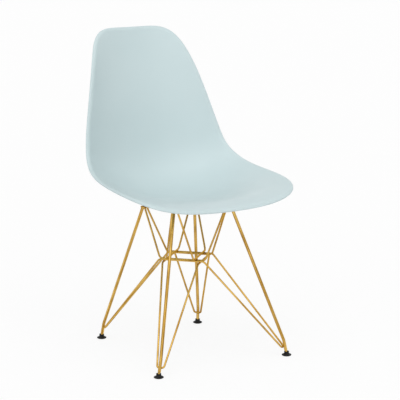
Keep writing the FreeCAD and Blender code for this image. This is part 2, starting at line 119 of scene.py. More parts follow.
BALL_HEIGHT = 6.0
BALL_RADIUS = 4.0
BALL_STEPS = 13
BALL_SHARE = 0.76
NECK_RADIUS = 2.75
NECK_START = 3.2
NECK_END = 8.6
NECK_SIDES = 32
ROD_END = 8.4

RING_HEIGHT = 247.2
RING_CENTRE = -2.0
BAR_TURN = math.radians(45.0)
UPPER_BAR_LENGTH = 120.0
UPPER_BAR_SPACING = 72.0
LOWER_BAR_LENGTH = 118.0
LOWER_BAR_SPACING = 94.0

# Wires: name, side of the diagonal's front end (1 is left), height, side of the bar's offset
UPPER_WIRES = (
    ("left_front", 1, RING_HEIGHT, -1),
    ("left_rear", 1, RING_HEIGHT, 1),
    ("right_left", -1, RING_HEIGHT + WIRE_TO_WIRE, 1),
    ("right_right", -1, RING_HEIGHT + WIRE_TO_WIRE, -1),
)
UPPER_BENDS = (0, 6, 12, 12, 6, 0)
WIRE_INSETS = {"front": 10.4, "rear": 6.4}
WIRE_RUN = 10.0
LOWER_LOOPS = (("left", 1, RING_HEIGHT), ("right", -1, RING_HEIGHT - WIRE_TO_WIRE))
LOOP_BENDS = (7.2, 12, 12, 7.2, 7.2, 12, 12, 7.2)
HAIRPIN_HEIGHTS = {"front": 24.6, "rear": 34.4}
HAIRPIN_HALF_WIDTH = 8.6

# Weld beads: half sizes along the seam, level across it and upwards, then places at a leg's top
CROSSING_BEAD = (2.6, 1.9, 1.3)
WIRE_BEAD = (6.0, 1.2, 2.0)
PLATE_BEAD = (7.0, 1.3, 0.9)
HAIRPIN_BEAD = (3.4, 1.2, 2.4)
BEAD_UNEVENNESS = 0.5
BEAD_RIPPLE = 700.0
BEAD_FINENESS = 3
WIRE_BEAD_SHIFT = 1.0
PLATE_BEAD_INSET = 12.0
PLATE_BEAD_SIDE = 2.4
PLATE_BEAD_DROP = 0.6

# Glides: radius and height of the outside, from the middle of the sole round to the mouth
GLIDE_OUTSIDE = (
    (0, 0), (9.5, 0), (12.5, 1.6), (12.5, 3.4), (7.6, 6.0), (6.4, 7.4), (6.4, 12.0), (5.6, 12.0), (3.75, 7.6),
)
GLIDE_ROUNDING = 0.7
SOCKET_RADIUS = 4.06
SOCKET_ANGLE = math.radians(112.5)
SOCKET_STEPS = 12
GLIDE_SIDES = 48


def place(x, y, z):
    """A point given in millimetres from the base's axis, in the frame of the chair."""
    return Vector((x * MM, (y + AXIS_Y) * MM, z * MM))


def to_frame(points):
    """Many points given in millimetres from the base's axis, in the frame of the chair."""
    return (np.asarray(points) + np.array([0, AXIS_Y, 0])) * MM


def side_sign(corner):
    return -1 if corner.endswith("right") else 1


def end_name(corner):
    return corner.split("_")[0]


# Meshes

def linked(name, data):
    piece = bpy.data.objects.new(name, data)
    bpy.context.scene.collection.objects.link(piece)
    return piece


def new_piece(name, points, faces, smooth=True):
    mesh = bpy.data.meshes.new(name)
    mesh.from_pydata([tuple(p) for p in points], [], faces)
    mesh.validate()
    mesh.update()
    mesh.shade_smooth() if smooth else mesh.shade_flat()
    return linked(name, mesh)


def ring_faces(rings, count, first=0):
    """Faces between rings of the same count of points, each ring running the same way round."""
    faces = []
    for ring in range(rings - 1):
        a = first + ring * count
        b = a + count
        for k in range(count):
            n = (k + 1) % count
            faces.append((a + k, a + n, b + n, b + k))
    return faces


def lathe(profile, count, centre, axis=Vector((0, 0, 1))):
    """A closed turned shape. The profile runs from the axis at the bottom, outside, to the axis on top."""
    turn = axis.normalized().to_track_quat("Z", "Y").to_matrix()
    points = [centre + turn @ Vector((0, 0, profile[0][1] * MM))]
    for radius, height in profile[1:-1]:
        for k in range(count):
            angle = 2 * math.pi * k / count
            local = Vector((radius * math.cos(angle), radius * math.sin(angle), height)) * MM
            points.append(centre + turn @ local)
    points.append(centre + turn @ Vector((0, 0, profile[-1][1] * MM)))
    rings = len(profile) - 2
    last = 1 + (rings - 1) * count
    faces = [(0, 1 + (k + 1) % count, 1 + k) for k in range(count)]
    faces += ring_faces(rings, count, 1)
    faces += [(len(points) - 1, last + k, last + (k + 1) % count) for k in range(count)]
    return points, faces


def joined(name, parts):
    """One piece from several lists of points and faces."""
    points = []
    faces = []
    for part_points, part_faces in parts:
        start = len(points)
        points += list(part_points)
        faces += [tuple(start + i for i in face) for face in part_faces]
    return new_piece(name, points, faces)


def rounded(points, radius, steps=5, most=0.45):
    """A profile with its inner corners rounded, each over at most a share of the sides that meet in it."""
    result = [points[0]]
    for before, corner, after in zip(points[:-2], points[1:-1], points[2:]):
        a = np.array(before, float) - corner
        b = np.array(after, float) - corner
        reach = min(radius, most * np.linalg.norm(a), most * np.linalg.norm(b))
        start = np.array(corner) + a / np.linalg.norm(a) * reach
        end = np.array(corner) + b / np.linalg.norm(b) * reach
        for step in range(steps + 1):
            t = step / steps
            point = (1 - t) ** 2 * start + 2 * t * (1 - t) * np.array(corner) + t ** 2 * end
            result.append((float(point[0]), float(point[1])))
    result.append(points[-1])
    return result


# Seat shell

def row_values(row):
    """Middle line and section sizes at places between the rows, on cubic B-splines."""
    before = 2 * SHELL_ROWS[:1] - SHELL_ROWS[1:2]
    after = 2 * SHELL_ROWS[-1:] - SHELL_ROWS[-2:-1]
    rows = np.vstack([before, SHELL_ROWS, after])
    row = np.clip(row, 0, LAST_ROW)
    index = np.minimum(row.astype(int), LAST_ROW - 1)
    f = (row - index)[..., None]
    return (
        (1 - f) ** 3 / 6 * rows[index]
        + (3 * f ** 3 - 6 * f ** 2 + 4) / 6 * rows[index + 1]
        + (-3 * f ** 3 + 3 * f ** 2 + 3 * f + 1) / 6 * rows[index + 2]
        + f ** 3 / 6 * rows[index + 3]
    )


def seat_points(x, row):
    """Points of the sitter's side of the shell."""
    step = 0.001
    y, z, half_width, rise = np.moveaxis(row_values(row), -1, 0)
    along = row_values(np.minimum(row + step, LAST_ROW)) - row_values(np.maximum(row - step, 0))
    length = np.hypot(along[..., 0], along[..., 1])
    lift = rise * (np.abs(x) / half_width) ** WING_POWER
    return np.stack([
        x,
        y - lift * along[..., 1] / length,
        SHELL_LEVEL + z + lift * along[..., 0] / length,
    ], -1)


def spoke_points(angle, share):
    """Points at shares of the way from the shell's middle to its rim."""
    across = np.sin(angle)
    along = -np.cos(angle)
    power = FRONT_CORNER_POWER + (TOP_CORNER_POWER - FRONT_CORNER_POWER) * (1 + along) / 2
    reach = (np.abs(across) ** power + np.abs(along) ** power) ** (-1 / power)
    across = reach * across
    along = reach * along
    span = np.where(along > 0, LAST_ROW - MIDDLE_ROW, MIDDLE_ROW)
    row = MIDDLE_ROW + share * along * span
    return seat_points(share * across * row_values(row)[..., 2], row)


def unit(v):
    return v / np.linalg.norm(v, axis=-1, keepdims=True)


def spoke_frames(angle, share):
    """Points of the sitter's side with the directions outwards and away from the wall."""
    step = 0.002
    point = spoke_points(angle, share)
    outwards = point - spoke_points(angle, share - step)
    around = unit(spoke_points(angle + step, share) - spoke_points(angle - step, share))
    outwards = unit(outwards - around * np.sum(outwards * around, -1, keepdims=True))
    return point, outwards, np.cross(outwards, around)


def shell_rings():
    """Rings of points from the middle of the seat over the rolled lip to the middle underneath."""
    angles = 2 * np.pi * np.arange(SPOKES) / SPOKES
    top = []
    under = []
    for share in RING_SHARES:
        point, outwards, normal = spoke_frames(angles, share)
        top.append(point)
        under.append(point - normal * SHELL_WALL)
    rim, outwards, normal = spoke_frames(angles, 1.0)
    centre = rim - normal * LIP_RADIUS
    for turn in np.linspace(0, LIP_ANGLE, LIP_STEPS):
        radial = outwards * math.sin(turn) + normal * math.cos(turn)
        top.append(centre + radial * LIP_RADIUS)
        under.append(centre + radial * (LIP_RADIUS - SHELL_WALL))
    onward = outwards * math.cos(LIP_ANGLE) - normal * math.sin(LIP_ANGLE)
    middle = centre + radial * (LIP_RADIUS - SHELL_WALL / 2)
    edge = []
    for bend in np.linspace(0, np.pi, EDGE_STEPS)[1:-1]:
        edge.append(middle + (radial * math.cos(bend) + onward * math.sin(bend)) * SHELL_WALL / 2)
    return top + edge + under[::-1]


def shell_part():
    rings = shell_rings()
    middle = seat_points(np.array([0.0]), np.array([MIDDLE_ROW]))[0]
    ahead = seat_points(np.array([0.0]), np.array([MIDDLE_ROW + ROW_STEP]))[0]
    normal = unit(np.cross([1, 0, 0], ahead - middle))
    points = np.vstack([middle[None]] + rings + [(middle - normal * SHELL_WALL)[None]])
    last = 1 + (len(rings) - 1) * SPOKES
    faces = [(0, 1 + k, 1 + (k + 1) % SPOKES) for k in range(SPOKES)]
    faces += [tuple(reversed(face)) for face in ring_faces(len(rings), SPOKES, 1)]
    faces += [(len(points) - 1, last + (k + 1) % SPOKES, last + k) for k in range(SPOKES)]
    return to_frame(points), faces


def under_seat(x, y, first_row=4.0, rounds=30, side_step=0.5):
    """Height of the underside of the seat over a place in plan, found by stepping closer."""
    row = np.full_like(x, first_row)
    guess_x = x.copy()
    for _ in range(rounds):
        point = seat_points(guess_x, row)
        ahead = seat_points(guess_x, row + ROW_STEP)
        beside = seat_points(guess_x + side_step, row)
        normal = unit(np.cross(beside - point, ahead - point))
        under = point - normal * SHELL_WALL
        guess_x += x - under[..., 0]
        row += (y - under[..., 1]) / ((ahead - point)[..., 1] / ROW_STEP)
    return under[..., 2]


def mount_centre(corner):
    x, y = TOPS[end_name(corner)]
    x *= side_sign(corner)
    length = math.hypot(x, y)
    return x - x / length * MOUNT_INSET, y - y / length * MOUNT_INSET


def boss_part(corner):
    """A boss under the seat with a soft root and the pocket of its insert."""
    count = BOSS_SIDES
    x, y = mount_centre(corner)
    base = TOP_HEIGHTS[end_name(corner)] + ROD_RADIUS + WELD_GAP / 2 + PLATE_THICKNESS + PAD_THICKNESS
    angles = -2 * np.pi * np.arange(count) / count
    rings = []

    def add(radius, height):
        ring = np.stack([x + radius * np.cos(angles), y + radius * np.sin(angles), height + 0 * angles], -1)
        rings.append(ring)

    def ceiling(radius):
        return under_seat(x + radius * np.cos(angles), y + radius * np.sin(angles))

    for radius, rise in (
        (POCKET_RADIUS, POCKET_DEPTH), (POCKET_RADIUS, COLLAR_DEPTH), (COLLAR_RADIUS, COLLAR_DEPTH),
        (COLLAR_RADIUS, 0.0), (BOSS_RADIUS - BOSS_BEVEL, 0.0), (BOSS_RADIUS, BOSS_BEVEL),
    ):
        add(radius, base + rise)
    foot = base + BOSS_BEVEL
    for share in BOSS_SHARES:
        radius = BOSS_RADIUS + BOSS_FLARE * share
        add(radius, foot + (ceiling(radius) - BOSS_ROOT - foot) * share)
    for bend in ROOT_BENDS:
        radius = BOSS_RADIUS + BOSS_FLARE + BOSS_ROOT * (1 - math.cos(bend))
        add(radius, ceiling(radius) - BOSS_ROOT * (1 - math.sin(bend)) + ROOT_OVERLAP)
    add(HIDDEN_RADIUS, ceiling(HIDDEN_RADIUS) + HIDDEN_DEPTH)
    points = np.vstack(rings)
    top = len(points)
    points = np.vstack([points, [[x, y, base + POCKET_DEPTH]], rings[-1].mean(0)[None]])
    last = (len(rings) - 1) * count
    faces = ring_faces(len(rings), count)
    faces += [(top, k, (k + 1) % count) for k in range(count)]
    faces += [(top + 1, last + (k + 1) % count, last + k) for k in range(count)]
    return to_frame(points), [tuple(reversed(face)) for face in faces]


# Geometry Nodes for rods and welds

def new_tree(name, source, result, **numbers):
    """A tree that takes a geometry, some numbers and a finish, with its first and last node."""
    tree = bpy.data.node_groups.new(name, "GeometryNodeTree")
    sockets = {source: "Geometry", **numbers, "Finish": "Material"}
    for label, kind in sockets.items():
        tree.interface.new_socket(label, in_out="INPUT", socket_type="NodeSocket" + kind)
    tree.interface.new_socket(result, in_out="OUTPUT", socket_type="NodeSocketGeometry")
    return tree, tree.nodes.new("NodeGroupInput"), tree.nodes.new("NodeGroupOutput")


def stored(tree, geometry, name, kind, value):
    """A geometry that carries a named value on its points."""
    node = tree.nodes.new("GeometryNodeStoreNamedAttribute")
    node.data_type = kind
    node.domain = "POINT"
    node.inputs["Name"].default_value = name
    tree.links.new(geometry, node.inputs["Geometry"])
    tree.links.new(value, node.inputs["Value"])
    return node.outputs["Geometry"]


def carried(tree, name, kind):
    """A named value that the points of a geometry carry."""
    node = tree.nodes.new("GeometryNodeInputNamedAttribute")
    node.data_type = kind
    node.inputs["Name"].default_value = name
    return node.outputs["Attribute"]


def realized(tree, geometry):
    node = tree.nodes.new("GeometryNodeRealizeInstances")
    tree.links.new(geometry, node.inputs["Geometry"])
    return node.outputs["Geometry"]


def end_in_finish(tree, geometry, start, end):
    node = tree.nodes.new("GeometryNodeSetMaterial")
    tree.links.new(geometry, node.inputs["Geometry"])
    tree.links.new(start.outputs["Finish"], node.inputs["Material"])
    tree.links.new(node.outputs["Geometry"], end.inputs[0])


def sweep_tree():
    """A round rod along a polyline whose points carry their own bend radius."""
    tree, start, end = new_tree("bent_rod", "Route", "Rod", Radius="Float", Steps="Int", Sides="Int")
    new = tree.nodes.new
    link = tree.links.new
    curve = new("GeometryNodeMeshToCurve")
    link(start.outputs["Route"], curve.inputs["Mesh"])
    fillet = new("GeometryNodeFilletCurve")
    fillet.mode = "POLY"
    link(curve.outputs["Curve"], fillet.inputs["Curve"])
    link(carried(tree, "bend_radius", "FLOAT"), fillet.inputs["Radius"])
    link(start.outputs["Steps"], fillet.inputs["Count"])
    circle = new("GeometryNodeCurvePrimitiveCircle")
    link(start.outputs["Sides"], circle.inputs["Resolution"])
    link(start.outputs["Radius"], circle.inputs["Radius"])

    # The surface keeps its distance along the rod and its place round it, for the finish
    distance = new("GeometryNodeSplineParameter").outputs["Length"]
    position = new("GeometryNodeInputPosition").outputs["Position"]
    sweep = new("GeometryNodeCurveToMesh")
    sweep.inputs["Fill Caps"].default_value = True
    link(stored(tree, fillet.outputs["Curve"], "rod_along", "FLOAT", distance), sweep.inputs["Curve"])
    profile = stored(tree, circle.outputs["Curve"], "rod_side", "FLOAT_VECTOR", position)
    link(profile, sweep.inputs["Profile Curve"])
    end_in_finish(tree, realized(tree, sweep.outputs["Mesh"]), start, end)
    return tree


def bead_tree():
    """A small weld bead at each point, stretched along its seam and a little uneven."""
    tree, start, end = new_tree("weld_beads", "Seams", "Beads", Unevenness="Float", Fineness="Int")
    new = tree.nodes.new
    link = tree.links.new
    ball = new("GeometryNodeMeshIcoSphere")
    ball.inputs["Radius"].default_value = 1.0
    link(start.outputs["Fineness"], ball.inputs["Subdivisions"])
    turn = new("FunctionNodeAlignRotationToVector")
    turn.axis = "X"
    link(carried(tree, "seam", "FLOAT_VECTOR"), turn.inputs["Vector"])
    beads = new("GeometryNodeInstanceOnPoints")
    link(start.outputs["Seams"], beads.inputs["Points"])
    link(ball.outputs["Mesh"], beads.inputs["Instance"])
    link(turn.outputs["Rotation"], beads.inputs["Rotation"])
    link(carried(tree, "size", "FLOAT_VECTOR"), beads.inputs["Scale"])
    ripple = new("ShaderNodeTexNoise")
    ripple.inputs["Scale"].default_value = BEAD_RIPPLE
    ripple.inputs["Detail"].default_value = 1.0
    centred = new("ShaderNodeVectorMath")
    centred.operation = "SUBTRACT"
    centred.inputs[1].default_value = (0.5, 0.5, 0.5)
    link(ripple.outputs["Color"], centred.inputs[0])
    shift = new("ShaderNodeVectorMath")
    shift.operation = "SCALE"
    link(centred.outputs["Vector"], shift.inputs[0])
    link(start.outputs["Unevenness"], shift.inputs["Scale"])
    uneven = new("GeometryNodeSetPosition")
    link(realized(tree, beads.outputs["Instances"]), uneven.inputs["Geometry"])
    link(shift.outputs["Vector"], uneven.inputs["Offset"])
    end_in_finish(tree, uneven.outputs["Geometry"], start, end)
    return tree


def made_plain(name, mesh, tree, values):
    """The result of a tree on a mesh, as a plain mesh piece."""
    source = linked(mesh.name, mesh)
    modifier = source.modifiers.new(tree.name, "NODES")
    modifier.node_group = tree
    sockets = {item.name: item.identifier for item in tree.interface.items_tree if item.in_out == "INPUT"}
    for key, value in values.items():
        modifier[sockets[key]] = value
    bpy.context.view_layer.update()
    graph = bpy.context.evaluated_depsgraph_get()
    result = bpy.data.meshes.new_from_object(source.evaluated_get(graph), depsgraph=graph)
    source.modifiers.remove(modifier)
    bpy.data.objects.remove(source)
    result.name = name
    result.shade_smooth()
    return linked(name, result)


def swept_rod(name, points, bends, radius, closed=False, steps=10, sides=28):
    """A rod or wire along points, with a bend radius at each."""
    edges = [(i, i + 1) for i in range(len(points) - 1)]
    if closed:
        edges.append((len(points) - 1, 0))
    mesh = bpy.data.meshes.new(name + "_route")
    mesh.from_pydata([tuple(p) for p in points], edges, [])
    layer = mesh.attributes.new("bend_radius", "FLOAT", "POINT")
    for index, value in enumerate(bends):
        layer.data[index].value = value * MM
    return made_plain(name, mesh, ROD_TREE, {
        "Radius": radius * MM, "Steps": steps, "Sides": sides, "Finish": GOLD_ROD,
    })


# Routes of rods and wires

def inward(point):
    """The level direction from a corner of the base to its axis."""
    return Vector((-point.x, AXIS_Y * MM - point.y, 0)).normalized()


def sideways(direction):
    """The level direction a quarter turn to the left of another."""
    return Vector((-direction.y, direction.x, 0))


def corner_point(corner, places, height):
    x, y = places[end_name(corner)]
    return place(side_sign(corner) * x, y, height)


def top_point(corner):
    return corner_point(corner, TOPS, TOP_HEIGHTS[end_name(corner)])


def stub_point(corner, height):
    """A point on the axis of the leg's lowest run, between the ball and the knee."""
    low = corner_point(corner, FEET, BALL_HEIGHT)
    high = corner_point(corner, KNEES, KNEE_HEIGHT)
    return low + (high - low) * ((height - BALL_HEIGHT) / (KNEE_HEIGHT - BALL_HEIGHT))


def leg_points(corner):
    """The route of a leg, the centre of its ball and the direction up from there."""
    top = top_point(corner)
    knee = corner_point(corner, KNEES, KNEE_HEIGHT)
    ball = corner_point(corner, FEET, BALL_HEIGHT)
    stub = (knee - ball).normalized()
    return [top + inward(top) * TOP_RUN * MM, top, knee, ball + stub * ROD_END * MM], ball, stub


def bar_directions(side):
    """Level directions along and across the bars of one diagonal."""
    along = Vector((side * math.cos(BAR_TURN), -math.sin(BAR_TURN), 0))
    return along, sideways(along)


def upper_wire_points(side, height, offset_side):
    along, across = bar_directions(side)
    across = across * offset_side
    middle = place(0, RING_CENTRE, height) + across * UPPER_BAR_SPACING / 2 * MM
    bar = along * UPPER_BAR_LENGTH / 2 * MM
    ends = []
    for corner_side, end in ((side, "front"), (-side, "rear")):
        x, y = TOPS[end]
        top = place(corner_side * x, y, TOP_HEIGHTS[end])
        direction = inward(top)
        shift = sideways(direction)
        if shift.dot(across) < 0:
            shift = -shift
        bend = top + (direction * WIRE_INSETS[end] + shift * ROD_TO_WIRE) * MM
        ends.append((bend - direction * WIRE_RUN * MM, bend))
    return [ends[0][0], ends[0][1], middle + bar, middle - bar, ends[1][1], ends[1][0]]


def hairpin_place(corner):
    """The leg's axis at its hairpin, with the directions up the leg and from it to the base's axis."""
    leg = stub_point(corner, HAIRPIN_HEIGHTS[end_name(corner)])
    upwards = (stub_point(corner, KNEE_HEIGHT) - leg).normalized()
    towards = inward(leg)
    return leg, upwards, (towards - upwards * towards.dot(upwards)).normalized()


def lower_loop_points(side, height):
    along, across = bar_directions(side)
    hairpins = []
    for corner in ("front_left", "rear_right") if side > 0 else ("front_right", "rear_left"):
        leg, upwards, towards = hairpin_place(corner)
        hairpins.append(leg + towards * ROD_TO_WIRE * MM)
    half = across * HAIRPIN_HALF_WIDTH * MM
    bar = along * LOWER_BAR_LENGTH / 2 * MM
    offset = across * LOWER_BAR_SPACING / 2 * MM
    level = place(0, RING_CENTRE, height)
    return [
        hairpins[0] + half, level + bar + offset, level - bar + offset, hairpins[1] + half,
        hairpins[1] - half, level - bar - offset, level + bar - offset, hairpins[0] - half,
    ]


# Materials

SHELL_TONES = (0.530, 0.640, 0.654), (0.556, 0.662, 0.676)
# Deep and pale gold of the lengthwise streaks, which are partly painted reflections
GOLD_STREAK_AND_REFLECTION_TONES = (0.350, 0.172, 0.018), (0.870, 0.578, 0.160)
GOLD_BROWN = (0.205, 0.094, 0.010)
GOLD_EDGE = (0.760, 0.590, 0.340, 1.0)
NOISE_SPAN = (0.3, 0.7)
STREAK_SPAN = (0.34, 0.66)
STREAK_SQUEEZE = 0.03
BROWN_SPAN = (0.45, 0.75)
BROWN_SHARE = 0.5
GRAINS_PER_CLOUD = 8
SHEEN_SPREAD = 0.06


def material(name):
    made = bpy.data.materials.new(name)
    made.use_nodes = True
    tree = made.node_tree
    return made, tree, tree.nodes["Principled BSDF"]


def coordinates(tree):
    return tree.nodes.new("ShaderNodeTexCoord").outputs["Object"]


def attribute(tree, name):
    node = tree.nodes.new("ShaderNodeAttribute")
    node.attribute_name = name
    return node


def noise(tree, where, scale, detail=3.0, roughness=0.5):
    node = tree.nodes.new("ShaderNodeTexNoise")
    node.inputs["Scale"].default_value = scale
    node.inputs["Detail"].default_value = detail
    node.inputs["Roughness"].default_value = roughness
    tree.links.new(where, node.inputs["Vector"])
    return node.outputs["Fac"]


def between(tree, value, low, high, span=NOISE_SPAN):
    """A value moved from its own span to the range from low to high."""
    node = tree.nodes.new("ShaderNodeMapRange")
    node.inputs["From Min"].default_value = span[0]
    node.inputs["From Max"].default_value = span[1]
    node.inputs["To Min"].default_value = low
    node.inputs["To Max"].default_value = high
    tree.links.new(value, node.inputs["Value"])
    return node.outputs["Result"]


def combined(tree, operation, first, second):
    """One step of arithmetic on two values, each a socket or a number."""
    node = tree.nodes.new("ShaderNodeMath")
    node.operation = operation
    for value, socket in ((first, node.inputs[0]), (second, node.inputs[1])):
        if isinstance(value, float):
            socket.default_value = value
        else:
            tree.links.new(value, socket)
    return node.outputs["Value"]


def colour_mix(tree, share, first, second):
    """A mix of two colours, each a socket or three numbers."""
    node = tree.nodes.new("ShaderNodeMix")
    node.data_type = "RGBA"
    tree.links.new(share, node.inputs[0])
    for value, socket in ((first, node.inputs[6]), (second, node.inputs[7])):
        if isinstance(value, tuple):
            socket.default_value = (*value, 1.0)
        else:
            tree.links.new(value, socket)
    return node.outputs[2]


def bump(tree, shader, height, strength, distance):
    node = tree.nodes.new("ShaderNodeBump")
    node.inputs["Strength"].default_value = strength
    node.inputs["Distance"].default_value = distance
    tree.links.new(height, node.inputs["Height"])
    tree.links.new(node.outputs["Normal"], shader.inputs["Normal"])


def shell_plastic():
    """Satin moulded polypropylene: fine grain, faint flow clouds and a few rubbed places."""
    made, tree, shader = material("shell_plastic")
    where = coordinates(tree)
    clouds = between(tree, noise(tree, where, 5.0), 0.0, 1.0)
    tree.links.new(colour_mix(tree, clouds, *SHELL_TONES), shader.inputs["Base Color"])
    rubbed = noise(tree, where, 18.0, detail=4.0, roughness=0.6)
    tree.links.new(between(tree, rubbed, 0.36, 0.46), shader.inputs["Roughness"])
    grain = noise(tree, where, 1400.0, detail=2.0)
    bump(tree, shader, grain, strength=0.12, distance=0.0002)
    return made


def plated_steel(name, where, streak_scale):
    """Brass-plated steel: lengthwise pale and deep streaks, partly drawing marks and partly painted
    reflections, brown patches at random places, and handling marks.
    """
    made, tree, shader = material(name)
    # Streaks along the rod, or in object space on plates and beads: partly drawing marks, partly painted
    # reflections, the pale ones painted highlights and the deep ones painted dark reflections.
    streaks = noise(tree, where(tree), streak_scale, roughness=0.6)
    streaks_with_painted_reflections = colour_mix(tree, between(tree, streaks, 0.0, 1.0, STREAK_SPAN), *GOLD_STREAK_AND_REFLECTION_TONES)
    object_place = coordinates(tree)
    # Brown patches at random places over the part.
    patches = noise(tree, object_place, 22.0)
    brown_share = between(tree, patches, 0.0, BROWN_SHARE, BROWN_SPAN)
    tree.links.new(colour_mix(tree, brown_share, streaks_with_painted_reflections, GOLD_BROWN), shader.inputs["Base Color"])
    shader.inputs["Metallic"].default_value = 1.0
    shader.inputs["Specular Tint"].default_value = GOLD_EDGE
    tree.links.new(between(tree, streaks, 0.18, 0.34), shader.inputs["Roughness"])
    marks = noise(tree, object_place, 420.0, roughness=0.6)
    bump(tree, shader, marks, strength=0.10, distance=0.0002)
    return made


def along_the_rod(tree):
    """Coordinates of the rod laid out straight, squeezed along its length into streaks."""
    apart = tree.nodes.new("ShaderNodeSeparateXYZ")
    tree.links.new(attribute(tree, "rod_side").outputs["Vector"], apart.inputs["Vector"])
    squeezed = combined(tree, "MULTIPLY", attribute(tree, "rod_along").outputs["Fac"], STREAK_SQUEEZE)
    together = tree.nodes.new("ShaderNodeCombineXYZ")
    tree.links.new(apart.outputs["X"], together.inputs["X"])
    tree.links.new(apart.outputs["Y"], together.inputs["Y"])
    tree.links.new(squeezed, together.inputs["Z"])
    return together.outputs["Vector"]


def simple_finish(name, dark, light, roughness, metallic, grain_scale, grain_depth, shine=0.5):
    """A finish with two close tones, an uneven sheen and a fine grain."""
    made, tree, shader = material(name)
    where = coordinates(tree)
    clouds = between(tree, noise(tree, where, grain_scale / GRAINS_PER_CLOUD), 0.0, 1.0)
    tree.links.new(colour_mix(tree, clouds, dark, light), shader.inputs["Base Color"])
    shader.inputs["Metallic"].default_value = metallic
    shader.inputs["Specular IOR Level"].default_value = shine
    marks = noise(tree, where, grain_scale, roughness=0.6)
    sheen = between(tree, marks, roughness - SHEEN_SPREAD, roughness + SHEEN_SPREAD)
    tree.links.new(sheen, shader.inputs["Roughness"])
    bump(tree, shader, marks, strength=0.25, distance=grain_depth)
    return made


SHELL_PLASTIC = shell_plastic()
GOLD_ROD = plated_steel("gold_rod", along_the_rod, streak_scale=420.0)
GOLD_PLATE = plated_steel("gold_plate", coordinates, streak_scale=60.0)
GLIDE_PLASTIC = simple_finish(
    "glide_plastic", (0.004, 0.004, 0.004), (0.007, 0.007, 0.007),
    roughness=0.50, metallic=0.0, grain_scale=700.0, grain_depth=0.0002, shine=0.22,
)
PAD_RUBBER = simple_finish(
    "pad_rubber", (0.020, 0.020, 0.020), (0.032, 0.032, 0.031),
    roughness=0.72, metallic=0.0, grain_scale=500.0, grain_depth=0.0003, shine=0.30,
)
ZINC_STEEL = simple_finish(
    "zinc_steel", (0.52, 0.52, 0.50), (0.64, 0.64, 0.62),
    roughness=0.34, metallic=1.0, grain_scale=400.0, grain_depth=0.0001,
)
INSERT_BRASS = simple_finish(
    "insert_brass", (0.66, 0.48, 0.20), (0.74, 0.56, 0.26),
    roughness=0.30, metallic=1.0, grain_scale=400.0, grain_depth=0.0001,
)
ROD_TREE = sweep_tree()
BEAD_TREE = bead_tree()


# Pieces

def dress(piece, finish, body, slot, *replaced):
    piece.data.materials.clear()
    piece.data.materials.append(finish)
    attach(piece, body)
    if replaced:
        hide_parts(*replaced)


def make_shell():
    parts = [shell_part()] + [boss_part(corner) for corner in CORNERS]
    shell = joined("moulded_shell", parts)
    dress(shell, SHELL_PLASTIC, "chair", "shell_plastic", "seat_shell")


def neck_profile():
    """The ball at the foot of a leg and the thin neck above it, from the ball's centre."""
    arc = []
    for step in range(1, BALL_STEPS + 1):
        bend = math.pi * step / BALL_STEPS * BALL_SHARE
        arc.append((BALL_RADIUS * math.sin(bend), -BALL_RADIUS * math.cos(bend)))
    return [(0, -BALL_RADIUS)] + arc + [(NECK_RADIUS, NECK_START), (NECK_RADIUS, NECK_END), (0, NECK_END)]


def make_legs():
    for corner in CORNERS:
        points, ball, stub = leg_points(corner)
        leg = swept_rod("leg_" + corner, points, LEG_BENDS, ROD_RADIUS, sides=32, steps=14)
        neck = new_piece("neck", *lathe(neck_profile(), NECK_SIDES, ball, stub))
        neck.data.materials.append(GOLD_ROD)
        with bpy.context.temp_override(active_object=leg, selected_editable_objects=[leg, neck]):
            bpy.ops.object.join()
        dress(leg, GOLD_ROD, "chair", "gold_steel", "leg_rod_" + corner)


def make_wires():
    for label, side, height, offset_side in UPPER_WIRES:
        points = upper_wire_points(side, height, offset_side)
        wire = swept_rod("wire_" + label, points, UPPER_BENDS, WIRE_RADIUS)
        dress(wire, GOLD_ROD, "chair", "gold_steel", "upper_wire_" + label)
    for label, side, height in LOWER_LOOPS:
        points = lower_loop_points(side, height)
        loop = swept_rod("loop_" + label, points, LOOP_BENDS, WIRE_RADIUS, closed=True)
        dress(loop, GOLD_ROD, "chair", "gold_steel", "lower_loop_" + label)


def bar_crossings():
    """Where the bars of the left diagonal cross those of the right one, above or below them."""
    spots = []
    along, across = bar_directions(1)
    upper = UPPER_BAR_SPACING / 2
    lower = LOWER_BAR_SPACING / 2
    for left_offset in (upper, lower):
        for right_offset, rise in ((upper, WIRE_TO_WIRE), (lower, -WIRE_TO_WIRE)):
            centre = place(0, RING_CENTRE, RING_HEIGHT + rise / 2)
            for first in (-1, 1):
                for second in (-1, 1):
                    spot = across * first * left_offset + along * second * right_offset
                    spots.append(centre + spot * MM)
    return spots


def weld_seams():
    """Places of the welds, each with the direction of its seam and the size of its bead."""
    along, across = bar_directions(1)
    seams = [(spot, along, CROSSING_BEAD) for spot in bar_crossings()]
    skin = ROD_RADIUS + WELD_GAP / 2
    for corner in CORNERS:
        top = top_point(corner)
        direction = inward(top)
        aside = sideways(direction)
        inset = WIRE_INSETS[end_name(corner)] - WIRE_BEAD_SHIFT
        for sign in (-1, 1):
            seams.append((top + (direction * inset + aside * sign * skin) * MM, direction, WIRE_BEAD))
            under_plate = Vector((0, 0, ROD_RADIUS - PLATE_BEAD_DROP)) + aside * sign * PLATE_BEAD_SIDE
            seams.append((top + (direction * PLATE_BEAD_INSET + under_plate) * MM, direction, PLATE_BEAD))
        leg, upwards, towards = hairpin_place(corner)
        seams.append((leg + towards * skin * MM, upwards.cross(towards), HAIRPIN_BEAD))
    return seams


